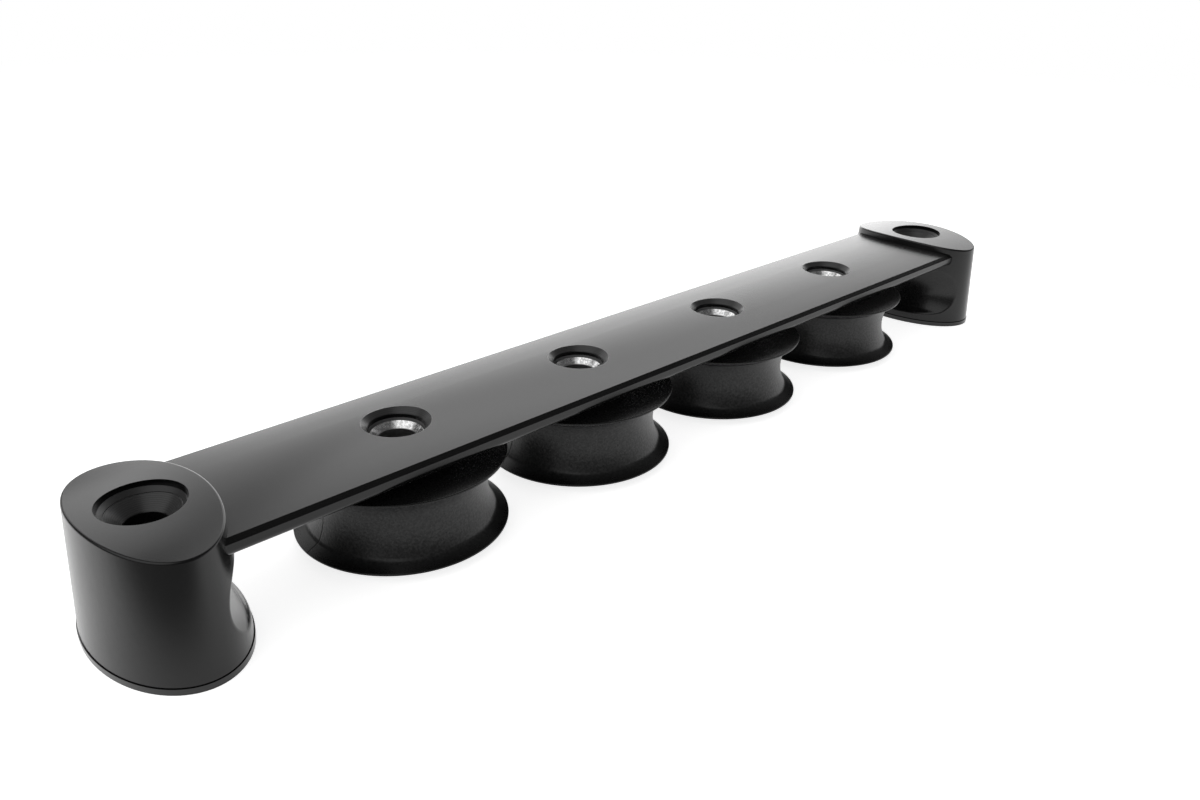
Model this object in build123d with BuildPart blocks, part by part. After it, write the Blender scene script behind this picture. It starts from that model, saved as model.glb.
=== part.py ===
from build123d import *
import math
import os

# Rope deck organizer: a row of sheaves under one cambered plate, carried by two oval end caps.
# X runs along the row, Y across it (the way the ropes run) and Z up, in millimetres.
# The origin is on the deck, in the middle of the row.

# The row
SHEAVE_COUNT = 4
PITCH = 57.0
END_PITCH = 57.6

# Deck screws, M8 countersunk, one down each sheave and each cap
SCREW_HOLE_R = 4.2
SCREW_CONE_ANGLE = 90.0
SCREW_CONE_R = 8.1

# Top plate, an aluminium extrusion
PLATE_THICKNESS = 5.0
PLATE_WIDTH = 38.1
PLATE_CAMBER_R = 150.0
PLATE_CHAMFER = 1.0
PLATE_LOWER_ROUND = 1.6

# End caps, oval and flared towards the deck
CAP_BASE_HALF_X = 15.1
CAP_BASE_HALF_Y = 24.1
CAP_TOP_HALF_X = 12.8
CAP_TOP_HALF_Y = 22.5
CAP_SKIN = 2.13
CAP_CAMBER_R = 140.0
CAP_RIM_EDGE = 0.5
CAP_SEAM_EDGE = 0.25
CAP_OPENING_R = 8.55
CAP_CONE_R = 8.0
CAP_CONE_RISE = 0.9
CAP_END_WALL = 2.3
SLOT_CLEARANCE = 0.1

# The scoop in a cap's inner face: a round-sectioned groove turned about an upright axis behind the cap
SCOOP_AXIS_BACK = 30.0
SCOOP_BULGE = 11.25
SCOOP_SECTION_R = 17.7
SCOOP_MID_Z = 13.25
SCOOP_FLOOR_Z = 4.2
SCOOP_FLOOR_ROUND = 2.5
SCOOP_EDGE_ROUND = 1.2

# Base pads under the caps
PAD_THICKNESS = 1.4
PAD_LIP = 0.1

# Sheaves, moulded: the groove is a steep hollow wall between two sloping flanges
SHEAVE_R = 25.2
SHEAVE_WAIST_R = 20.4
SHEAVE_WIDTH = 17.8
RIM_THICKNESS = 0.5
RIM_ROUND = 0.2
FLANGE_ROOT_R = 22.2
FLANGE_ROOT_RISE = 2.1
FLANGE_ROOT_ROUND = 1.5
HUB_R = 12.6
HUB_RISE = 1.2

# Bushes, turned stainless: a foot on the deck, a journal, and a spigot up into the plate
JOURNAL_R = 8.0
FOOT_R = 11.6
FOOT_THICKNESS = 1.2
SPIGOT_R = 6.5
SPIGOT_CLEARANCE = 0.1
SPIGOT_DEPTH_BELOW_CROWN = 2.85
SPIGOT_CHAMFER = 0.4
BUSH_MOUTH_R = 5.95
BUSH_BORE_R = 4.5

# Bearing sleeves pressed into the sheaves, and thrust washers above and below them
SLEEVE_WALL = 2.0
SLEEVE_MOUTH = 0.4
RUNNING_CLEARANCE = 0.06
AXIAL_CLEARANCE = 0.2
WASHER_THICKNESS = 1.0
WASHER_CLEARANCE = 0.15
WASHER_R = 12.0

# Levels, stacked up from the deck, and places along the row
SHEAVE_BASE_Z = FOOT_THICKNESS + WASHER_THICKNESS + AXIAL_CLEARANCE
SHEAVE_TOP_Z = SHEAVE_BASE_Z + SHEAVE_WIDTH
HUB_TOP_Z = SHEAVE_TOP_Z + HUB_RISE
PLATE_BASE_Z = HUB_TOP_Z + AXIAL_CLEARANCE + WASHER_THICKNESS
PLATE_CROWN_Z = PLATE_BASE_Z + PLATE_THICKNESS
CAP_CROWN_Z = PLATE_CROWN_Z + CAP_SKIN
CAP_CONE_Z = PLATE_CROWN_Z + CAP_CONE_RISE
END_X = PITCH * (SHEAVE_COUNT - 1) / 2 + END_PITCH
SHEAVE_XS = [PITCH * (i - (SHEAVE_COUNT - 1) / 2) for i in range(SHEAVE_COUNT)]
PLATE_END_HALF_X = CAP_TOP_HALF_X - CAP_END_WALL
PLATE_END_HALF_Y = CAP_TOP_HALF_Y - CAP_END_WALL
SLEEVE_R = JOURNAL_R + RUNNING_CLEARANCE + SLEEVE_WALL
SPIGOT_TOP_Z = PLATE_CROWN_Z - SPIGOT_DEPTH_BELOW_CROWN

os.makedirs("parts", exist_ok=True)


def upright_plane(x):
    """The plane through x on which half sections are drawn: local x is the radius, local y is Z."""
    return Plane(origin=(x, 0, 0), x_dir=(1, 0, 0), z_dir=(0, -1, 0))


def upright_axis(x):
    """The vertical axis through x."""
    return Axis((x, 0, 0), (0, 0, 1))


def camber_drop(radius, half_width):
    """How far a cambered top has fallen at half_width from its crown."""
    return radius - math.sqrt(radius**2 - half_width**2)


def save(piece, name):
    """Label a finished piece and write it."""
    piece.part.label = name
    export_step(piece.part, f"parts/{name}.step")


def plate_blank(clearance):
    """The plate before its holes are cut, grown by a clearance on every side."""
    half_width = PLATE_WIDTH / 2 + clearance
    crown_z = PLATE_CROWN_Z + clearance
    base_z = PLATE_BASE_Z - clearance
    shoulder_y = half_width - PLATE_CHAMFER
    shoulder_z = crown_z - camber_drop(PLATE_CAMBER_R, shoulder_y)
    end_half_x = PLATE_END_HALF_X + clearance
    end_half_y = PLATE_END_HALF_Y + clearance
    with BuildPart() as blank:
        with BuildSketch(Plane.YZ):
            with BuildLine():
                ThreePointArc((-shoulder_y, shoulder_z), (0, crown_z), (shoulder_y, shoulder_z))
                Polyline(
                    (shoulder_y, shoulder_z),
                    (half_width, shoulder_z - PLATE_CHAMFER),
                    (half_width, base_z),
                    (-half_width, base_z),
                    (-half_width, shoulder_z - PLATE_CHAMFER),
                    (-shoulder_y, shoulder_z),
                )
            section = make_face()
            fillet(section.vertices().group_by(Axis.Y)[0], PLATE_LOWER_ROUND)
        extrude(amount=END_X + end_half_x, both=True)
        with BuildSketch(Plane.XY.offset(base_z)):
            Rectangle(2 * END_X, 2 * half_width)
            with Locations((-END_X, 0), (END_X, 0)):
                Ellipse(end_half_x, end_half_y)
        extrude(amount=crown_z - base_z, mode=Mode.INTERSECT)
    return blank.part


# Top plate: countersunk for the bushes, and under the caps' openings for the end screws
with BuildPart() as top_plate:
    add(plate_blank(0))
    with Locations(*[(x, 0, PLATE_CROWN_Z) for x in SHEAVE_XS]):
        CounterSinkHole(SPIGOT_R + SPIGOT_CLEARANCE, SCREW_CONE_R, counter_sink_angle=SCREW_CONE_ANGLE)
    with Locations((-END_X, 0, CAP_CONE_Z), (END_X, 0, CAP_CONE_Z)):
        CounterSinkHole(SCREW_HOLE_R, CAP_CONE_R, counter_sink_angle=SCREW_CONE_ANGLE)
save(top_plate, "top_plate")


# Right end cap: a straight-sided flared oval with a domed top
with BuildPart() as right_end_cap:
    flare = PAD_THICKNESS / CAP_CROWN_Z
    seat_half_x = CAP_BASE_HALF_X + (CAP_TOP_HALF_X - CAP_BASE_HALF_X) * flare
    seat_half_y = CAP_BASE_HALF_Y + (CAP_TOP_HALF_Y - CAP_BASE_HALF_Y) * flare
    with BuildSketch(Plane((END_X, 0, PAD_THICKNESS))):
        Ellipse(seat_half_x, seat_half_y)
    with BuildSketch(Plane((END_X, 0, CAP_CROWN_Z))):
        Ellipse(CAP_TOP_HALF_X, CAP_TOP_HALF_Y)
    loft(ruled=True)

    # The dome falls away across the cap
    with BuildSketch(Plane.YZ.offset(END_X)):
        with Locations((0, CAP_CROWN_Z - CAP_CAMBER_R)):
            Circle(CAP_CAMBER_R)
    extrude(amount=CAP_BASE_HALF_X, both=True, mode=Mode.INTERSECT)
    dome_rim = right_end_cap.faces().sort_by(Axis.Z)[-1].edges()
    fillet(dome_rim, CAP_RIM_EDGE)
    seam = right_end_cap.faces().sort_by(Axis.Z)[0].edges()
    chamfer(seam, CAP_SEAM_EDGE)

    # The scoop, which rounds out into its floor, with an eased mouth
    scoop_axis_x = END_X + SCOOP_AXIS_BACK
    scoop_root_r = SCOOP_AXIS_BACK + SCOOP_BULGE
    with BuildSketch(upright_plane(scoop_axis_x)) as scoop_section:
        with Locations((scoop_root_r + SCOOP_SECTION_R, SCOOP_MID_Z)):
            Circle(SCOOP_SECTION_R)
        with Locations((scoop_root_r, SCOOP_FLOOR_Z)):
            Rectangle(SCOOP_SECTION_R, CAP_CROWN_Z, align=(Align.MIN, Align.MIN), mode=Mode.INTERSECT)
        floor_corner = scoop_section.vertices().group_by(Axis.Y)[0].sort_by(Axis.X)[0]
        fillet(floor_corner, SCOOP_FLOOR_ROUND)
    revolve(axis=upright_axis(scoop_axis_x), mode=Mode.SUBTRACT)
    scoop_mouth = right_end_cap.edges(Select.LAST).filter_by(GeomType.CIRCLE, reverse=True)
    fillet(scoop_mouth, SCOOP_EDGE_ROUND)

    # The slot that takes the plate's end, and the way down for the end screw
    add(plate_blank(SLOT_CLEARANCE), mode=Mode.SUBTRACT)
    with Locations((END_X, 0, CAP_CONE_Z)):
        CounterSinkHole(SCREW_HOLE_R, CAP_CONE_R, counter_sink_angle=SCREW_CONE_ANGLE)
    with BuildSketch(Plane((END_X, 0, CAP_CONE_Z))):
        Circle(CAP_OPENING_R)
    extrude(amount=CAP_SKIN, mode=Mode.SUBTRACT)

save(right_end_cap, "right_end_cap")

# Left end cap, the mirror image
with BuildPart() as left_end_cap:
    mirror(right_end_cap.part, about=Plane.YZ)
save(left_end_cap, "left_end_cap")


# Base pads, a hair proud of the caps all round
for name, x in (("left_base_pad", -END_X), ("right_base_pad", END_X)):
    with BuildPart() as base_pad:
        with BuildSketch(Plane((x, 0, 0))):
            Ellipse(CAP_BASE_HALF_X + PAD_LIP, CAP_BASE_HALF_Y + PAD_LIP)
            Circle(SCREW_HOLE_R, mode=Mode.SUBTRACT)
        extrude(amount=PAD_THICKNESS)
    save(base_pad, name)


def build_sheave(x):
    """A grooved sheave: a hollow wall between two sloping flanges, and a hub that stands up to its washer."""
    low = SHEAVE_BASE_Z
    high = SHEAVE_TOP_Z
    low_root = (FLANGE_ROOT_R, low + FLANGE_ROOT_RISE)
    high_root = (FLANGE_ROOT_R, high - FLANGE_ROOT_RISE)
    with BuildPart() as sheave:
        with BuildSketch(upright_plane(x)):
            with BuildLine():
                Polyline((SLEEVE_R, low), (SHEAVE_R, low), (SHEAVE_R, low + RIM_THICKNESS), low_root)
                ThreePointArc(low_root, (SHEAVE_WAIST_R, (low + high) / 2), high_root)
                Polyline(
                    high_root,
                    (SHEAVE_R, high - RIM_THICKNESS),
                    (SHEAVE_R, high),
                    (HUB_R, high),
                    (HUB_R, HUB_TOP_Z),
                    (SLEEVE_R, HUB_TOP_Z),
                    (SLEEVE_R, low),
                )
            make_face()
            flange_roots = vertices().group_by(Axis.X)[-2]
            fillet(flange_roots, FLANGE_ROOT_ROUND)
            rim_corners = vertices().group_by(Axis.X)[-1]
            fillet(rim_corners, RIM_ROUND)
        revolve(axis=upright_axis(x))
    return sheave


def build_sleeve(x):
    """A plain bearing sleeve, as long as the hub, with eased mouths."""
    with BuildPart() as sleeve:
        with BuildSketch(Plane((x, 0, SHEAVE_BASE_Z))):
            Circle(SLEEVE_R)
            Circle(JOURNAL_R + RUNNING_CLEARANCE, mode=Mode.SUBTRACT)
        extrude(amount=HUB_TOP_Z - SHEAVE_BASE_Z)
        bore_edges = sleeve.edges().filter_by(GeomType.CIRCLE).sort_by(SortBy.RADIUS)[:2]
        chamfer(bore_edges, SLEEVE_MOUTH)
    return sleeve


def build_bush(x):
    """A bush that stands on the deck, carries the sheave and locates the plate."""
    mouth_depth = BUSH_MOUTH_R - BUSH_BORE_R
    with BuildPart() as bush:
        with BuildSketch(upright_plane(x)):
            with BuildLine():
                Polyline(
                    (BUSH_BORE_R, 0),
                    (FOOT_R, 0),
                    (FOOT_R, FOOT_THICKNESS),
                    (JOURNAL_R, FOOT_THICKNESS),
                    (JOURNAL_R, PLATE_BASE_Z),
                    (SPIGOT_R, PLATE_BASE_Z),
                    (SPIGOT_R, SPIGOT_TOP_Z - SPIGOT_CHAMFER),
                    (SPIGOT_R - SPIGOT_CHAMFER, SPIGOT_TOP_Z),
                    (BUSH_MOUTH_R, SPIGOT_TOP_Z),
                    (BUSH_BORE_R, SPIGOT_TOP_Z - mouth_depth),
                    close=True,
                )
            make_face()
        revolve(axis=upright_axis(x))
    return bush


def build_washer(x, z):
    """A thrust washer with its lower face at z."""
    with BuildPart() as washer:
        with BuildSketch(Plane((x, 0, z))):
            Circle(WASHER_R)
            Circle(JOURNAL_R + WASHER_CLEARANCE, mode=Mode.SUBTRACT)
        extrude(amount=WASHER_THICKNESS)
    return washer


# The pieces of each sheave, numbered from the left cap
for number, x in enumerate(SHEAVE_XS, start=1):
    save(build_sheave(x), f"sheave_{number}")
    save(build_sleeve(x), f"bearing_sleeve_{number}")
    save(build_bush(x), f"bush_{number}")
    save(build_washer(x, FOOT_THICKNESS), f"lower_washer_{number}")
    save(build_washer(x, PLATE_BASE_Z - WASHER_THICKNESS), f"upper_washer_{number}")
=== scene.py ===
import math

import bpy
from mathutils import Matrix, Vector


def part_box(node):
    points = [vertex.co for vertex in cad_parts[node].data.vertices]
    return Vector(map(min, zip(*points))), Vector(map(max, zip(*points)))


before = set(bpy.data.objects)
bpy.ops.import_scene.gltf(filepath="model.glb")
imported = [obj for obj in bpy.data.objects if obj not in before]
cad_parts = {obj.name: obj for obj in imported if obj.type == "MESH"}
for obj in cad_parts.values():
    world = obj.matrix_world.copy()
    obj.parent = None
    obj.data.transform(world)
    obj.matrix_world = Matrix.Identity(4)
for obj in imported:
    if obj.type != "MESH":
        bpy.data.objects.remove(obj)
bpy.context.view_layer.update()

# Metres to a millimetre
MM = 0.001

# The camera: where it stands, which way it looks, which way is up for it, and its lens
CAMERA_PLACE = Vector((-0.19841, -0.17957, 0.13227))
CAMERA_FORWARD = Vector((0.63665, 0.64085, -0.42893))
CAMERA_UP = Vector((0.28610, 0.32024, 0.90308))
CAMERA_LENS = 30.467
CAMERA_SENSOR = 36.0
CAMERA_NEAR = 0.01

# Directions about the object as the camera sees it: away behind it, to its left and to its right
BACK_DIRECTION = Vector((0.70, 0.71, 0.0)).normalized()
LEFT_DIRECTION = Vector((-0.71, 0.70, 0.0)).normalized()
RIGHT_DIRECTION = Vector((0.71, -0.70, 0.0)).normalized()

# The floor: what it is, how much lighter it is seen than it is lit, and where it is seen plain white
FLOOR_RADIUS = 12.0
FLOOR_CORNERS = 96
FLOOR_IOR = 1.5
FLOOR_GREY = 0.80
FLOOR_ROUGHNESS = 0.9
FLOOR_LIFT = 0.80
WHITE = 1.0
WHITE_BEYOND = (0.25, 0.90)

# The floor in front of the object, in metres along the back direction, which gloss sees darker by this share
FRONT_EDGE = (-0.16, -0.12)
FRONT_SHARE = 0.75

# How far round each hole's axis the floor is not lifted, so that the holes look dark
HOLE_SHADE = (10.0 * MM, 11.5 * MM)

# The world's light: a dim ceiling, and a low band round the horizon behind the object
CEILING = 0.12
BAND = 1.60
BAND_HEIGHTS = (0.14, 0.40)
BAND_SPREAD = (-0.7, 0.4)

# A bright screen behind the object, dimmer past its right edge. Past the left edge the band is dimmer too
SCREEN = 1.4
SCREEN_HEIGHTS = (0.30, 0.95)
SCREEN_SPREAD = (0.35, 0.85)
LEFT_EDGE = (0.34, 0.56)
LEFT_LEVEL = 0.10
RIGHT_EDGE = (0.42, 0.62)
RIGHT_LEVEL = 0.15

# A lighter patch of the ceiling, which shines down into the holes
OVERHEAD = 1.1
OVERHEAD_DIRECTION = Vector((-0.66, -0.05, 0.75)).normalized()
OVERHEAD_SPREAD = (0.70, 0.90)

# Two square lamps that look at the object: their places, widths in metres and watts
SOFTBOXES = {
    "softbox_left": ((-0.10, 1.10, 0.72), 0.7, 2.0),
    "softbox_back": ((0.70, 0.70, 1.10), 0.9, 4.5),
}

# The forms that the CAD gives the sheaves and scoops, for the looks that keep to one zone of a piece
FLANGE_ROOT_R = 22.2 * MM
HUB_R = 12.6 * MM
HUB_RISE = 1.2 * MM
SCOOP_AXIS_BACK = 30.0 * MM
SCOOP_CENTRE_R = 58.95 * MM
SCOOP_SECTION_R = 17.7 * MM
SCOOP_MID_Z = 13.25 * MM

# The turned zones round the screws: cones, the plate's walls over the bushes, and bores
SEAT_R = 8.0 * MM
SEAT_FADE = 0.25 * MM
BUSH_WALL_R = 6.65 * MM
END_BORE_R = 4.25 * MM
BUSH_BORE_R = 4.55 * MM
WALL_FADE = 0.15 * MM
LOW_RING_RISE = 0.40 * MM

# The levels at which fine noise counts as low and as high, and those of grit and wear
GRAIN_SPAN = (0.3, 0.7)
GRIT_SPAN = (0.35, 0.65)

# Plate: greys, roughness, and the depths of its bumps
PLATE_IOR = 1.38
PLATE_SHEEN = 0.05
PLATE_GREYS = (0.004, 0.006)
PLATE_CLOUDS = 14.0 * MM
PLATE_ROUGHNESS = (0.23, 0.25)
PLATE_GRAIN = 0.30 * MM
PLATE_GRAIN_DEPTH = 0.003 * MM
LINE_STRETCH = 90.0
LINE_DEPTH = 0.0005 * MM
SEAT_GREYS = (0.030, 0.046)
SEAT_ROUGHER = 0.06
LOW_RING_GREY = 0.14
MARK_PITCH = 0.30 * MM
MARK_DEPTH = 0.006 * MM

# Caps: satin outside, gritty in the scoop, and rougher on the cone that leads into the plate's seat
CAP_IOR = 1.42
CAP_SHEEN = 0.04
CAP_GREYS = (0.003, 0.0045)
CAP_CLOUDS = 9.0 * MM
CAP_ROUGHNESS = (0.20, 0.24)
CAP_GRAIN = 0.35 * MM
CAP_GRAIN_DEPTH = 0.0010 * MM
SCOOP_GREYS = (0.005, 0.011)
SCOOP_GRIT = 0.4 * MM
SCOOP_GRIT_DEPTH = 0.012 * MM
SCOOP_MARGIN = 0.05 * MM
SCOOP_FADE = 0.55 * MM
CONE_GREY = 0.024
CONE_ROUGHER = 0.20

# Base pads
PAD_IOR = 1.5
PAD_GREYS = (0.003, 0.007)
PAD_ROUGHNESS = (0.14, 0.20)
PAD_GRAIN_DEPTH = 0.002 * MM

# Sheaves: smooth flanges, a gritty groove, and the mould's parting line
SHEAVE_IOR = 1.33
SHEAVE_SHEEN = 0.12
SHEAVE_GREYS = (0.003, 0.005)
SHEAVE_CLOUDS = 6.0 * MM
SHEAVE_ROUGHNESS = (0.26, 0.30)
SHEAVE_GRAIN = 0.35 * MM
SHEAVE_GRAIN_DEPTH = 0.0025 * MM
GROOVE_GREYS = (0.020, 0.046)
GROOVE_EDGE = (FLANGE_ROOT_R - 2.3 * MM, FLANGE_ROOT_R + 2.8 * MM)
GROOVE_BELOW_TOP = (0.2 * MM, 0.6 * MM)
GROOVE_ROUGHER = 0.08
GROOVE_GRIT = 0.6 * MM
GROOVE_GRIT_DEPTH = 0.08 * MM
SEAM_HALF_WIDTH = 0.10 * MM
SEAM_FADE = 0.14 * MM
SEAM_INNER_R = HUB_R + 0.4 * MM
SEAM_INNER_FADE = 1.0 * MM
SEAM_GREY = 0.001
SEAM_ROUGHER = 0.3
SEAM_DEPTH = 0.05 * MM

# The angle of each sheave's parting line round its axis, in degrees
SEAM_DEGREES = (179.5, 172.0, 168.0, 175.0)

# Bushes: turned stainless, worn at the mouth
STEEL_IOR = 2.5
STEEL_GREYS = (0.45, 0.82)
STEEL_ROUGHNESS = (0.16, 0.30)
STEEL_RINGS = 0.12 * MM
STEEL_RING_DEPTH = 0.012 * MM
SCRATCH_SIZE = 0.6 * MM
SCRATCH_DEPTH = 0.012 * MM
BORE_GREY = 0.30
BORE_ROUGHER = 0.15

# The size of the grain on the pads, sleeves and washers
MOULDING_GRAIN = 0.30 * MM

# Sleeves and washers, which no view shows whole
MOULDING_IOR = 1.48
MOULDING_GRAIN_DEPTH = 0.008 * MM
MOULDING_ROUGHNESS_SPAN = 0.1
SLEEVE_COLORS = ((0.62, 0.60, 0.55), (0.70, 0.68, 0.63))
SLEEVE_ROUGHNESS = 0.35
WASHER_GREYS = (0.015, 0.022)
WASHER_ROUGHNESS = 0.4

SHEEN_ROUGHNESS = 0.3

# The nodes of the frame, piece by piece
SHEAVES = sorted(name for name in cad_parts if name.startswith("sheave_"))
BUSHES = sorted(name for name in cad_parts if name.startswith("bush_"))
SLEEVES = sorted(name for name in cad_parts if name.startswith("bearing_sleeve_"))
WASHERS = sorted(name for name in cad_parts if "_washer_" in name)
CAPS = ["left_end_cap", "right_end_cap"]
PADS = ["left_base_pad", "right_base_pad"]


def centre(node):
    """The middle of a node's box."""
    low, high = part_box(node)
    return (low + high) / 2


# Where the upright axes of the holes stand along the row
SHEAVE_XS = [centre(name).x for name in SHEAVES]
END_XS = [centre(name).x for name in PADS]


def as_color(level):
    """A grey level or a colour as four numbers. What a graph gives stays as it is."""
    if isinstance(level, float):
        return (level, level, level, 1.0)
    if isinstance(level, tuple):
        return (*level, 1.0)
    return level


class Graph:
    """Adds nodes to a node tree and joins them up."""

    def __init__(self, tree):
        self.tree = tree

    def add(self, kind, inputs=None, **settings):
        """A new node of that kind, with its settings made and its sockets set or linked."""
        node = self.tree.nodes.new(kind)
        for key, value in settings.items():
            setattr(node, key, value)
        for socket, value in (inputs or {}).items():
            self.feed(node, socket, value)
        return node

    def feed(self, node, socket, value):
        """Sets a socket, or links it where the value is another node's output."""
        if isinstance(value, bpy.types.NodeSocket):
            self.tree.links.new(value, node.inputs[socket])
        else:
            node.inputs[socket].default_value = value

    def work(self, operation, first, second=0.0, third=0.0):
        """One step of arithmetic."""
        inputs = {0: first, 1: second, 2: third}
        return self.add("ShaderNodeMath", inputs, operation=operation).outputs[0]

    def product(self, first, *others):
        """Values multiplied together."""
        for other in others:
            first = self.work("MULTIPLY", first, other)
        return first

    def add_where(self, mask, amount, value):
        """A value with an amount added where the mask is one."""
        return self.work("MULTIPLY_ADD", mask, amount, value)

    def length(self, first, second):
        """How long the slope is that goes along by one value and up by another."""
        squares = self.work("MULTIPLY_ADD", first, first, self.product(second, second))
        return self.work("SQRT", squares)

    def ramp(self, value, low, high, to_low, to_high):
        """A smooth step of a value between two levels."""
        inputs = {"Value": value, "From Min": low, "From Max": high, "To Min": to_low, "To Max": to_high}
        return self.add("ShaderNodeMapRange", inputs, interpolation_type="SMOOTHSTEP").outputs["Result"]

    def inside(self, distance, radius, fade):
        """One within a radius, fading to none outside it."""
        return self.ramp(distance, radius, radius + fade, 1.0, 0.0)

    def outside(self, distance, radius, fade):
        """None within a radius, growing to one outside it."""
        return self.ramp(distance, radius, radius + fade, 0.0, 1.0)

    def place(self):
        """The point on the piece, which turns with it."""
        return self.add("ShaderNodeTexCoord").outputs["Object"]

    def split(self, vector):
        """A vector's three numbers."""
        return self.add("ShaderNodeSeparateXYZ", {0: vector}).outputs

    def dot(self, vector, direction):
        """How far a vector goes in a direction."""
        dotted = self.add("ShaderNodeVectorMath", {0: vector, 1: direction}, operation="DOT_PRODUCT")
        return dotted.outputs["Value"]

    def noise(self, vector, size, detail=2.0, stretch=(1.0, 1.0, 1.0)):
        """Noise with features of about that size in metres, drawn out along an axis by a stretch."""
        scale = [1.0 / (size * factor) for factor in stretch]
        mapped = self.add("ShaderNodeMapping", {"Vector": vector, "Scale": scale}).outputs[0]
        inputs = {"Vector": mapped, "Scale": 1.0, "Detail": detail}
        return self.add("ShaderNodeTexNoise", inputs).outputs["Fac"]

    def axis_distance(self, vector, axis_xs):
        """How far a point is from the nearest of the upright axes at those places along the row."""
        nearest = None
        x, y, _ = self.split(vector)
        for axis_x in axis_xs:
            distance = self.length(self.work("SUBTRACT", x, axis_x), y)
            nearest = distance if nearest is None else self.work("MINIMUM", nearest, distance)
        return nearest

    def rings(self, distance, pitch):
        """Turning marks: a wave that runs outwards from an axis."""
        return self.work("SINE", self.product(distance, 2 * math.pi / pitch))

    def mix(self, value, low, high):
        """The colour between two greys, colours or mixes."""
        inputs = {"Factor": value, 6: as_color(low), 7: as_color(high)}
        return self.add("ShaderNodeMix", inputs, data_type="RGBA").outputs[2]

    def bump(self, height, depth, under=None):
        """A bump of that depth in metres, on top of another."""
        inputs = {"Height": height, "Distance": depth, "Strength": 1.0}
        if under is not None:
            inputs["Normal"] = under
        return self.add("ShaderNodeBump", inputs).outputs["Normal"]


def new_surface(name, ior, metallic=0.0, sheen=0.0):
    """A material with its graph and its shader."""
    material = bpy.data.materials.new(name)
    material.use_nodes = True
    surface = material.node_tree.nodes["Principled BSDF"]
    surface.inputs["IOR"].default_value = ior
    surface.inputs["Metallic"].default_value = metallic
    surface.inputs["Sheen Weight"].default_value = sheen
    surface.inputs["Sheen Roughness"].default_value = SHEEN_ROUGHNESS
    return material, Graph(material.node_tree), surface


def anodised_plate():
    """Hard black anodising on an extrusion: faint lines along the row, and turned seats in the holes."""
    material, graph, surface = new_surface("hard_black_anodising", PLATE_IOR, sheen=PLATE_SHEEN)
    place = graph.place()
    lines = graph.noise(place, PLATE_GRAIN, stretch=(LINE_STRETCH, 1.0, 1.0))
    grain = graph.noise(place, PLATE_GRAIN, detail=4.0)
    cloud = graph.noise(place, PLATE_CLOUDS)

    # The cones are turned. The upright walls below them stay as the plate is
    from_hole = graph.axis_distance(place, SHEAVE_XS + END_XS)
    from_bush = graph.axis_distance(place, SHEAVE_XS)
    off_wall = graph.outside(from_bush, BUSH_WALL_R, WALL_FADE)
    off_bore = graph.outside(from_hole, END_BORE_R, WALL_FADE)
    in_seat = graph.product(graph.inside(from_hole, SEAT_R, SEAT_FADE), off_wall, off_bore)
    marks = graph.product(graph.rings(from_hole, MARK_PITCH), in_seat)

    # A paler ring lies just above each bush
    low_ring = graph.inside(graph.split(place)[2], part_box(BUSHES[0])[1].z + LOW_RING_RISE, WALL_FADE)
    low_ring = graph.product(low_ring, graph.inside(from_bush, SEAT_R, SEAT_FADE))

    turned = graph.mix(graph.ramp(marks, -1.0, 1.0, 0.0, 1.0), *SEAT_GREYS)
    base = graph.mix(in_seat, graph.mix(cloud, *PLATE_GREYS), turned)
    graph.feed(surface, "Base Color", graph.mix(low_ring, base, LOW_RING_GREY))
    rough = graph.ramp(lines, *GRAIN_SPAN, *PLATE_ROUGHNESS)
    graph.feed(surface, "Roughness", graph.add_where(in_seat, SEAT_ROUGHER, rough))
    normal = graph.bump(grain, PLATE_GRAIN_DEPTH)
    normal = graph.bump(lines, LINE_DEPTH, normal)
    graph.feed(surface, "Normal", graph.bump(marks, MARK_DEPTH, normal))
    return material


def satin_cap():
    """The caps' satin black: smooth outside, and faintly gritty in the scoop that the rope runs against."""
    material, graph, surface = new_surface("satin_black", CAP_IOR, sheen=CAP_SHEEN)
    place = graph.place()
    x, y, z = graph.split(place)
    grain = graph.noise(place, CAP_GRAIN, detail=4.0)
    grit = graph.noise(place, SCOOP_GRIT, detail=3.0)
    cloud = graph.noise(place, CAP_CLOUDS)

    # The scoop is a round section turned about an axis behind each cap
    from_axis = graph.work("SUBTRACT", graph.work("ABSOLUTE", x), END_XS[1] + SCOOP_AXIS_BACK)
    out = graph.work("SUBTRACT", graph.length(from_axis, y), SCOOP_CENTRE_R)
    up = graph.work("SUBTRACT", z, SCOOP_MID_Z)
    in_scoop = graph.inside(graph.length(out, up), SCOOP_SECTION_R + SCOOP_MARGIN, SCOOP_FADE)
    in_cone = graph.inside(graph.axis_distance(place, END_XS), SEAT_R, SEAT_FADE)

    gritty = graph.mix(graph.ramp(grit, *GRIT_SPAN, 0.0, 1.0), *SCOOP_GREYS)
    base = graph.mix(in_scoop, graph.mix(cloud, *CAP_GREYS), gritty)
    graph.feed(surface, "Base Color", graph.mix(in_cone, base, CONE_GREY))
    rough = graph.ramp(grain, *GRAIN_SPAN, *CAP_ROUGHNESS)
    graph.feed(surface, "Roughness", graph.add_where(in_cone, CONE_ROUGHER, rough))
    normal = graph.bump(grain, CAP_GRAIN_DEPTH)
    graph.feed(surface, "Normal", graph.bump(graph.product(grit, in_scoop), SCOOP_GRIT_DEPTH, normal))
    return material


def plain_plastic(name, ior, colors, roughness, grain_depth):
    """A plain plastic with a fine grain."""
    material, graph, surface = new_surface(name, ior)
    grain = graph.noise(graph.place(), MOULDING_GRAIN, detail=4.0)
    graph.feed(surface, "Base Color", graph.mix(grain, *colors))
    graph.feed(surface, "Roughness", graph.ramp(grain, *GRAIN_SPAN, *roughness))
    graph.feed(surface, "Normal", graph.bump(grain, grain_depth))
    return material


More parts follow.
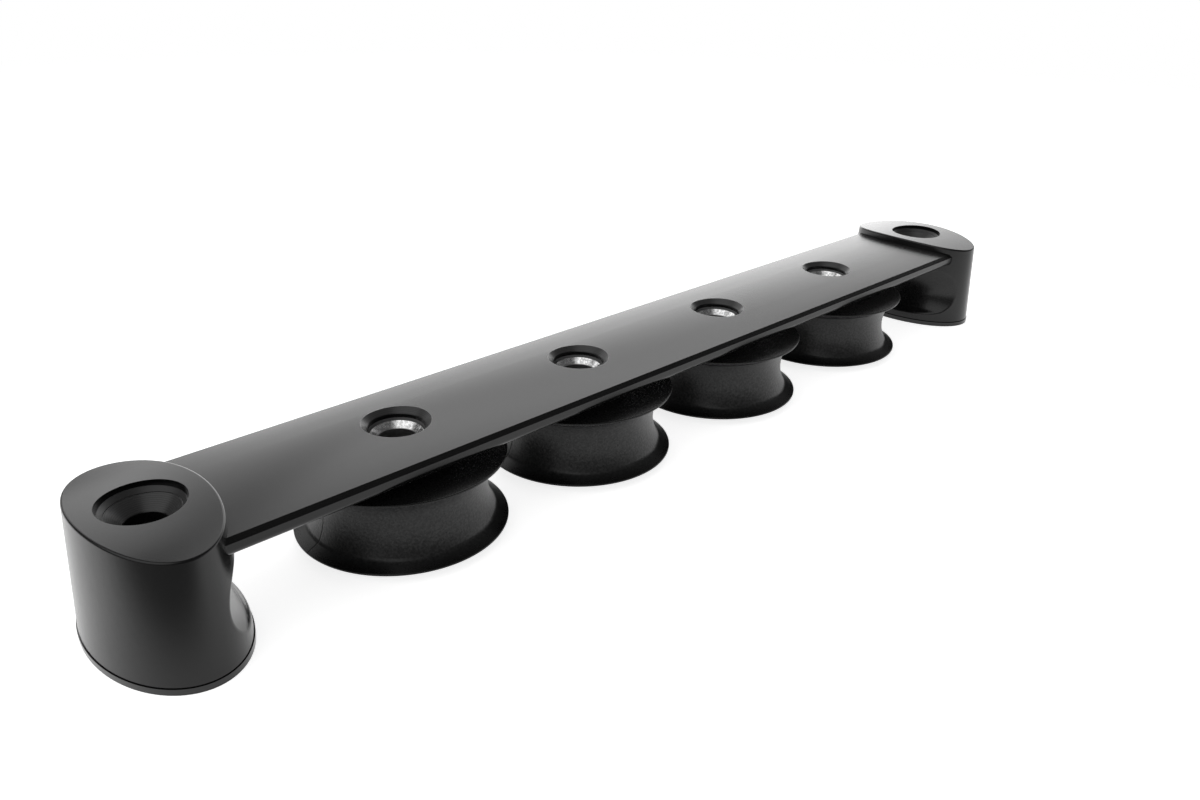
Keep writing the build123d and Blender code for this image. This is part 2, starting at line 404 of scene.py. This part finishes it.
def sheave_black(number, axis_x, seam_degrees):
    """A sheave's moulded black: gritty in the groove, smooth on its flanges, with a parting line."""
    material, graph, surface = new_surface(f"sheave_black_{number}", SHEAVE_IOR, sheen=SHEAVE_SHEEN)
    place = graph.place()
    x, y, z = graph.split(place)
    distance = graph.axis_distance(place, [axis_x])
    grain = graph.noise(place, SHEAVE_GRAIN, detail=4.0)
    grit = graph.noise(place, GROOVE_GRIT, detail=5.0)
    cloud = graph.noise(place, SHEAVE_CLOUDS)

    # The parting line lies in an upright plane through the axis, outside the hub
    seam = math.radians(seam_degrees)
    across = graph.product(graph.work("SUBTRACT", x, axis_x), -math.sin(seam))
    off_seam = graph.work("ABSOLUTE", graph.work("MULTIPLY_ADD", y, math.cos(seam), across))
    on_seam = graph.inside(off_seam, SEAM_HALF_WIDTH, SEAM_FADE)
    on_seam = graph.product(on_seam, graph.outside(distance, SEAM_INNER_R, SEAM_INNER_FADE))

    # The groove lies within the flanges and below their upper face
    face_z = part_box(SHEAVES[number - 1])[1].z - HUB_RISE
    in_groove = graph.ramp(distance, *GROOVE_EDGE, 1.0, 0.0)
    below_top = graph.ramp(graph.work("SUBTRACT", face_z, z), *GROOVE_BELOW_TOP, 0.0, 1.0)
    in_groove = graph.product(in_groove, below_top)

    gritty = graph.mix(graph.ramp(grit, *GRIT_SPAN, 0.0, 1.0), *GROOVE_GREYS)
    base = graph.mix(in_groove, graph.mix(cloud, *SHEAVE_GREYS), gritty)
    graph.feed(surface, "Base Color", graph.mix(on_seam, base, SEAM_GREY))
    rough = graph.ramp(grain, *GRAIN_SPAN, *SHEAVE_ROUGHNESS)
    rough = graph.add_where(in_groove, GROOVE_ROUGHER, rough)
    graph.feed(surface, "Roughness", graph.add_where(on_seam, SEAM_ROUGHER, rough))
    normal = graph.bump(grain, SHEAVE_GRAIN_DEPTH)
    normal = graph.bump(graph.product(grit, in_groove), GROOVE_GRIT_DEPTH, normal)
    graph.feed(surface, "Normal", graph.bump(graph.product(on_seam, -1.0), SEAM_DEPTH, normal))
    return material


def turned_steel():
    """Stainless, turned: fine rings round each bush's axis, a scratched mouth and a duller bore."""
    material, graph, surface = new_surface("turned_stainless", STEEL_IOR, metallic=1.0)
    place = graph.place()
    distance = graph.axis_distance(place, SHEAVE_XS)
    outwards = graph.add("ShaderNodeCombineXYZ", {"X": distance}).outputs[0]
    rings = graph.noise(outwards, STEEL_RINGS, detail=4.0)
    scratches = graph.noise(place, SCRATCH_SIZE, detail=6.0)
    in_bore = graph.inside(distance, BUSH_BORE_R, WALL_FADE)
    mouth = graph.mix(graph.ramp(scratches, *GRIT_SPAN, 0.0, 1.0), *STEEL_GREYS)
    graph.feed(surface, "Base Color", graph.mix(in_bore, mouth, BORE_GREY))
    rough = graph.ramp(rings, *GRAIN_SPAN, *STEEL_ROUGHNESS)
    graph.feed(surface, "Roughness", graph.add_where(in_bore, BORE_ROUGHER, rough))
    normal = graph.bump(scratches, SCRATCH_DEPTH)
    graph.feed(surface, "Normal", graph.bump(rings, STEEL_RING_DEPTH, normal))
    return material


def hidden_moulding(name, colors, roughness):
    """The plain plastic of a sleeve or a washer."""
    span = (roughness, roughness + MOULDING_ROUGHNESS_SPAN)
    return plain_plastic(name, MOULDING_IOR, colors, span, MOULDING_GRAIN_DEPTH)


def dress(names, material):
    """Gives nodes a material in place of what they came with."""
    for name in names:
        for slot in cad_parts[name].material_slots:
            slot.material = material


def dress_all():
    """Gives every node its material, each sheave its own for its parting line."""
    dress(["top_plate"], anodised_plate())
    dress(CAPS, satin_cap())
    dress(PADS, plain_plastic("pad_black", PAD_IOR, PAD_GREYS, PAD_ROUGHNESS, PAD_GRAIN_DEPTH))
    dress(BUSHES, turned_steel())
    for number, (name, axis_x, seam) in enumerate(zip(SHEAVES, SHEAVE_XS, SEAM_DEGREES), start=1):
        dress([name], sheave_black(number, axis_x, seam))
    dress(SLEEVES, hidden_moulding("natural_acetal", SLEEVE_COLORS, SLEEVE_ROUGHNESS))
    dress(WASHERS, hidden_moulding("washer_black", WASHER_GREYS, WASHER_ROUGHNESS))


def build_floor():
    """A pale floor that keeps the object's shadow and is seen nearly white, in gloss and glass too."""
    bpy.ops.mesh.primitive_circle_add(vertices=FLOOR_CORNERS, radius=FLOOR_RADIUS, fill_type="NGON")
    floor = bpy.context.object
    floor.name = "floor"
    material, graph, surface = new_surface("pale_floor", FLOOR_IOR)
    surface.inputs["Base Color"].default_value = as_color(FLOOR_GREY)
    surface.inputs["Roughness"].default_value = FLOOR_ROUGHNESS
    surface.inputs["Specular IOR Level"].default_value = 0.0
    place = graph.place()
    path = graph.add("ShaderNodeLightPath").outputs
    seen = graph.work("MAXIMUM", path["Is Camera Ray"], path["Is Transmission Ray"])
    seen = graph.work("MAXIMUM", seen, path["Is Glossy Ray"])

    # Near the object the lit floor is seen, lifted towards white except down in the screw holes
    from_hole = graph.axis_distance(place, SHEAVE_XS + END_XS)
    lift = graph.product(seen, graph.ramp(from_hole, *HOLE_SHADE, 0.0, FLOOR_LIFT))
    lift = graph.add("ShaderNodeEmission", {"Strength": lift})
    lifted = graph.add("ShaderNodeAddShader", {0: surface.outputs[0], 1: lift.outputs[0]})

    # Further off it is seen plain white
    away = graph.add("ShaderNodeVectorMath", {0: place}, operation="LENGTH").outputs["Value"]
    beyond = graph.product(seen, graph.ramp(away, *WHITE_BEYOND, 0.0, 1.0))
    white = graph.add("ShaderNodeEmission", {"Strength": WHITE})
    mixed = graph.add("ShaderNodeMixShader", {0: beyond, 1: lifted.outputs[0], 2: white.outputs[0]})

    # In front of the object gloss sees it dark
    front = graph.ramp(graph.dot(place, BACK_DIRECTION), *FRONT_EDGE, 1.0, 0.0)
    hidden = graph.product(front, path["Is Glossy Ray"], FRONT_SHARE)
    dark = graph.add("ShaderNodeEmission", {"Strength": 0.0})
    mixed = graph.add("ShaderNodeMixShader", {0: hidden, 1: mixed.outputs[0], 2: dark.outputs[0]})

    graph.feed(material.node_tree.nodes["Material Output"], "Surface", mixed.outputs[0])
    floor.data.materials.append(material)


def build_world():
    """Soft light: a low band and a screen behind the object, and a dim ceiling. The camera sees white."""
    world = bpy.data.worlds.new("studio")
    world.use_nodes = True
    bpy.context.scene.world = world
    graph = Graph(world.node_tree)
    direction = graph.add("ShaderNodeTexCoord").outputs["Generated"]
    height = graph.split(direction)[2]
    behind = graph.dot(direction, BACK_DIRECTION)
    left_edge = graph.ramp(graph.dot(direction, LEFT_DIRECTION), *LEFT_EDGE, 1.0, LEFT_LEVEL)
    right_edge = graph.ramp(graph.dot(direction, RIGHT_DIRECTION), *RIGHT_EDGE, 1.0, RIGHT_LEVEL)

    screen = graph.ramp(behind, *SCREEN_SPREAD, 0.0, 1.0)
    screen = graph.product(screen, graph.ramp(height, *SCREEN_HEIGHTS, SCREEN, 0.0), right_edge)
    band = graph.ramp(behind, *BAND_SPREAD, 0.0, 1.0)
    band = graph.product(band, graph.ramp(height, *BAND_HEIGHTS, BAND, 0.0))
    low = graph.product(graph.work("ADD", screen, band), left_edge)

    above = graph.dot(direction, OVERHEAD_DIRECTION)
    overhead = graph.ramp(above, *OVERHEAD_SPREAD, CEILING, CEILING + OVERHEAD)

    background = world.node_tree.nodes["Background"]
    background.inputs["Color"].default_value = as_color(WHITE)
    direct = graph.add("ShaderNodeLightPath").outputs["Is Camera Ray"]
    light = graph.work("MAXIMUM", graph.work("ADD", low, overhead), direct)
    graph.feed(background, "Strength", light)


def add_softbox(name, place, size, watts):
    """A square lamp that looks at the origin."""
    data = bpy.data.lights.new(name, "AREA")
    data.shape = "SQUARE"
    data.size = size
    data.energy = watts
    lamp = bpy.data.objects.new(name, data)
    bpy.context.scene.collection.objects.link(lamp)
    lamp.location = place
    lamp.rotation_euler = (-Vector(place)).to_track_quat("-Z", "Y").to_euler()


def build_camera():
    """The camera, at the photograph's viewpoint."""
    data = bpy.data.cameras.new("camera")
    data.sensor_fit = "HORIZONTAL"
    data.sensor_width = CAMERA_SENSOR
    data.lens = CAMERA_LENS
    data.clip_start = CAMERA_NEAR
    camera = bpy.data.objects.new("camera", data)
    bpy.context.scene.collection.objects.link(camera)
    right = CAMERA_FORWARD.cross(CAMERA_UP).normalized()
    up = right.cross(CAMERA_FORWARD).normalized()
    turn = Matrix((right, up, -CAMERA_FORWARD.normalized())).transposed().to_4x4()
    camera.matrix_world = Matrix.Translation(CAMERA_PLACE) @ turn
    bpy.context.scene.camera = camera


dress_all()
build_floor()
build_world()
for name, (place, size, watts) in SOFTBOXES.items():
    add_softbox(name, place, size, watts)
build_camera()
bpy.context.scene.view_settings.view_transform = "Standard"
